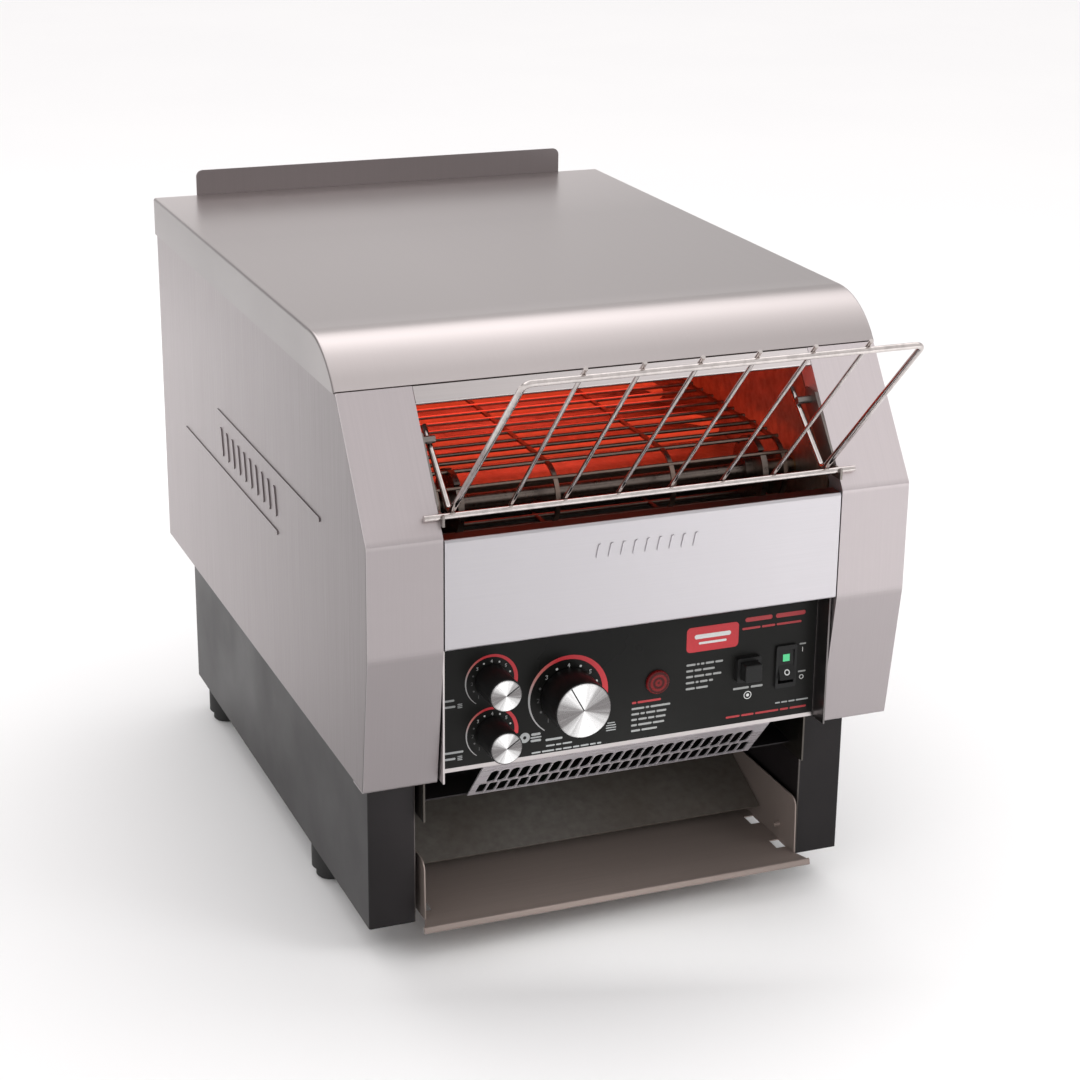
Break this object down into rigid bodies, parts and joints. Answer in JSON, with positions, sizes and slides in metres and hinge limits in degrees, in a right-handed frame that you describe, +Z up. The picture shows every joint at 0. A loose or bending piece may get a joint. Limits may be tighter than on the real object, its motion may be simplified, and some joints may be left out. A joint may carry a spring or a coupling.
{
  "type": "conveyor toaster",
  "caption": "Countertop conveyor toaster with a wire feed rack, a wire belt between heater banks, a rear chute and a front toast tray in a folded steel casing.",
  "frame": {"origin": "centre of the whole object's footprint box, on the counter", "axes": "+Z up, +Y from the controls towards the rear panel, +X to the right of somebody facing the controls"},
  "size_m": [0.368, 0.6426, 0.4342],
  "materials": {
    "stainless": "brushed",
    "black_enamel": "satin",
    "black_overlay": "printed film",
    "chrome_wire": "polished",
    "aluminised_sheet": "heat-tinted",
    "heater_sheath": "glowing",
    "ceramic": "glazed ceramic",
    "black_plastic": "moulded",
    "spun_aluminium": "spun",
    "red_lens": "clear red",
    "rubber": "matte",
    "zinc_steel": "zinc plated",
    "bronze": "sintered",
    "motor_paint": "satin",
    "green_board": "lacquered",
    "cream_plastic": "moulded"
  },
  "bodies": {
    "chassis": {"top_cover": "stainless", "rear_panel": "stainless", "left_side_panel": "stainless", "right_side_panel": "stainless", "left_front_column": "stainless", "right_front_column": "stainless", "hood_trim": "stainless", "front_panel": "stainless", "control_panel": "stainless", "control_overlay": "black_overlay", "discharge_guard": "stainless", "left_base_leg": "black_enamel", "right_base_leg": "black_enamel", "base_floor": "black_enamel", "feet": "rubber", "left_cavity_wall": "aluminised_sheet", "right_cavity_wall": "aluminised_sheet", "upper_reflector": "aluminised_sheet", "lower_reflector": "aluminised_sheet", "cavity_floor": "aluminised_sheet", "control_box": "aluminised_sheet", "toast_chute": "stainless", "upper_heaters": "heater_sheath", "lower_heaters": "heater_sheath", "heater_bushings": "ceramic", "tray_runners": "stainless", "rack_brackets": "stainless", "shaft_bearings": "bronze", "conveyor_belt": "chrome_wire", "drive_chain": "zinc_steel", "gear_motor": "motor_paint", "fan_frame": "black_plastic", "dial_switches": "cream_plastic", "rocker_housing": "black_plastic", "button_housing": "black_plastic", "indicator_lamp": "red_lens", "terminal_block": "cream_plastic", "cord_gland": "black_plastic", "control_board": "green_board", "panel_screws": "zinc_steel"},
    "feed_rack": {"feed_rack_frame": "chrome_wire", "feed_rack_wires": "chrome_wire"},
    "top_heat_knob": {"top_heat_knob": "black_plastic", "top_heat_knob_cap": "spun_aluminium", "top_heat_spindle": "zinc_steel"},
    "bottom_heat_knob": {"bottom_heat_knob": "black_plastic", "bottom_heat_knob_cap": "spun_aluminium", "bottom_heat_spindle": "zinc_steel"},
    "speed_knob": {"speed_knob": "black_plastic", "speed_knob_cap": "spun_aluminium", "speed_spindle": "zinc_steel"},
    "power_rocker": {"power_rocker": "black_plastic"},
    "power_save_button": {"power_save_button": "black_plastic"},
    "toast_tray": {"toast_tray": "stainless"},
    "front_conveyor_shaft": {"front_shaft": "zinc_steel", "front_sprockets": "zinc_steel"},
    "rear_conveyor_shaft": {"rear_shaft": "zinc_steel", "rear_sprockets": "zinc_steel"},
    "motor_output": {"motor_shaft": "zinc_steel"},
    "fan_rotor": {"fan_rotor": "black_plastic"}
  },
  "joints": [
    {"name": "feed_rack_pivot", "type": "hinge", "parent": "chassis", "child": "feed_rack", "pos_m": [0, -0.21011, 0.3165], "axis": [1, 0, 0], "range_deg": [-25, 0]},
    {"name": "top_heat_turn", "type": "hinge", "parent": "chassis", "child": "top_heat_knob", "pos_m": [-0.096, -0.20551, 0.1994], "axis": [0, 1, 0], "range_deg": [-191, 39]},
    {"name": "bottom_heat_turn", "type": "hinge", "parent": "chassis", "child": "bottom_heat_knob", "pos_m": [-0.0955, -0.20551, 0.1638], "axis": [0, 1, 0], "range_deg": [-191, 39]},
    {"name": "speed_turn", "type": "hinge", "parent": "chassis", "child": "speed_knob", "pos_m": [-0.044, -0.20551, 0.1817], "axis": [0, 1, 0], "range_deg": [-106, 129]},
    {"name": "power_rocker_tip", "type": "hinge", "parent": "chassis", "child": "power_rocker", "pos_m": [0.1098, -0.19151, 0.1799], "axis": [1, 0, 0], "range_deg": [0, 24]},
    {"name": "power_save_press", "type": "slide", "parent": "chassis", "child": "power_save_button", "axis": [0, 1, 0], "range_m": [0, 0.003], "stiffness_N_per_m": 400},
    {"name": "toast_tray_pull", "type": "slide", "parent": "chassis", "child": "toast_tray", "axis": [0, -1, 0], "range_m": [0, 0.12]},
    {"name": "front_shaft_spin", "type": "hinge", "parent": "chassis", "child": "front_conveyor_shaft", "pos_m": [0, -0.14351, 0.3], "axis": [1, 0, 0], "continuous": true, "deforming": ["conveyor_belt", "drive_chain"]},
    {"name": "rear_shaft_spin", "type": "hinge", "parent": "chassis", "child": "rear_conveyor_shaft", "pos_m": [0, 0.21934, 0.3], "axis": [1, 0, 0], "continuous": true},
    {"name": "motor_output_spin", "type": "hinge", "parent": "chassis", "child": "motor_output", "pos_m": [0.15, -0.10543, 0.1862], "axis": [1, 0, 0], "continuous": true},
    {"name": "fan_spin", "type": "hinge", "parent": "chassis", "child": "fan_rotor", "pos_m": [-0.1244, -0.10751, 0.2], "axis": [1, 0, 0], "continuous": true}
  ],
  "couplings": [
    {"joint": "rear_shaft_spin", "follows": "front_shaft_spin", "ratio": 1},
    {"joint": "motor_output_spin", "follows": "front_shaft_spin", "ratio": 1}
  ]
}
